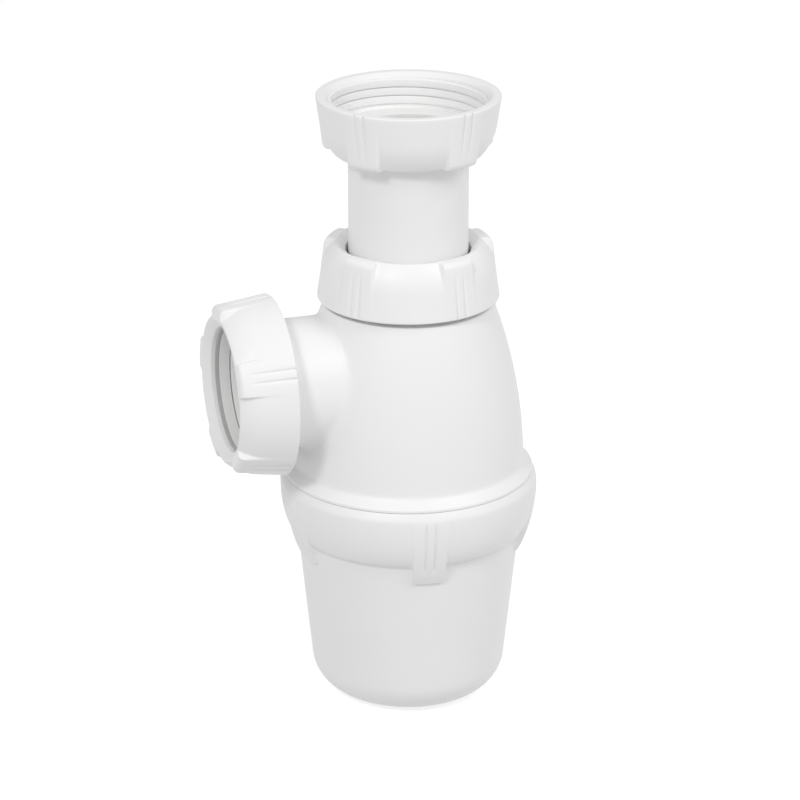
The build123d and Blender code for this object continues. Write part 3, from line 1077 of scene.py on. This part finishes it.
# %% Floor and surround
FLOOR_SIZE = 12
FLOOR_Z = -0.0002
start_clean()
bpy.ops.mesh.primitive_plane_add(size=FLOOR_SIZE, location=(0, 0, FLOOR_Z))
floor = bpy.context.object
floor.name = "floor"
paper = bpy.data.materials.new("pale_paper")
paper.use_nodes = True
paper_skin = paper.node_tree.nodes["Principled BSDF"].inputs
paper_skin["Base Color"].default_value = (0.95, 0.95, 0.95, 1)
paper_skin["Roughness"].default_value = 0.9
paper_skin["Emission Color"].default_value = (1, 1, 1, 1)
paper_skin["Emission Strength"].default_value = 0.35
floor.data.materials.append(paper)
floor.visible_diffuse = False

surround = bpy.data.worlds.new("surround")
surround.use_nodes = True
sky = surround.node_tree.nodes["Background"].inputs
sky["Color"].default_value = (1, 1, 1, 1)
sky["Strength"].default_value = 0.58
bpy.context.scene.world = surround
bpy.context.scene.view_settings.view_transform = "Standard"
print("surround strength", sky["Strength"].default_value)

# %% [markdown]
# ## Camera and lamps
#
# The picture was taken with a long lens from a little above, with the outlet to the left. The camera
# stands at a turn about the trap's axis and a rise above the floor, and looks at a point just beside
# that axis. One large lamp would give an even picture without edges. So a small lamp from the left draws
# the shadows of the nuts and the stub, and a large soft one from the right fills the other side.

# %% Camera at the photograph's place
VIEW_TURN = math.radians(72)
VIEW_RISE = math.radians(21.3264)
VIEW_DISTANCE = 0.86830
VIEW_HEIGHT = 0.08344
VIEW_SLIDE = 0.002225
LENS = 144
SENSOR = 36
forward_flat = Vector((math.cos(VIEW_TURN), math.sin(VIEW_TURN), 0))
rightward = Vector((-math.sin(VIEW_TURN), math.cos(VIEW_TURN), 0))
towards = forward_flat * math.cos(VIEW_RISE) + Vector((0, 0, math.sin(VIEW_RISE)))
target = Vector((0, 0, VIEW_HEIGHT)) - rightward * VIEW_SLIDE
camera_data = bpy.data.cameras.new("camera")
camera_data.lens = LENS
camera_data.sensor_width = SENSOR
camera = bpy.data.objects.new("camera", camera_data)
bpy.context.scene.collection.objects.link(camera)
camera.location = target + towards * VIEW_DISTANCE
camera.rotation_euler = towards.to_track_quat("Z", "Y").to_euler()
bpy.context.scene.camera = camera
print("camera at", [round(place, 3) for place in camera.location])

# %% Lamps
LAMP_DISTANCE = 1.3
LAMP_AIM = Vector((0, 0, 0.09))


def soft_lamp(name, azimuth, rise, size, power):
    """A square lamp aimed at the middle of the trap, at an azimuth from the camera's own and a rise."""
    data = bpy.data.lights.new(name, "AREA")
    data.size = size
    data.energy = power
    lamp = bpy.data.objects.new(name, data)
    bpy.context.scene.collection.objects.link(lamp)
    turn = math.radians(azimuth)
    tilt = math.radians(rise)
    side = rightward * math.sin(turn) + forward_flat * math.cos(turn)
    away = side * math.cos(tilt) + Vector((0, 0, math.sin(tilt)))
    lamp.location = away * LAMP_DISTANCE + LAMP_AIM
    lamp.rotation_euler = away.to_track_quat("Z", "Y").to_euler()
    print(name, "at", [round(place, 3) for place in lamp.location])


soft_lamp("left_lamp", azimuth=-26, rise=40, size=0.22, power=3.9)
soft_lamp("right_lamp", azimuth=50, rise=45, size=0.7, power=4.4)
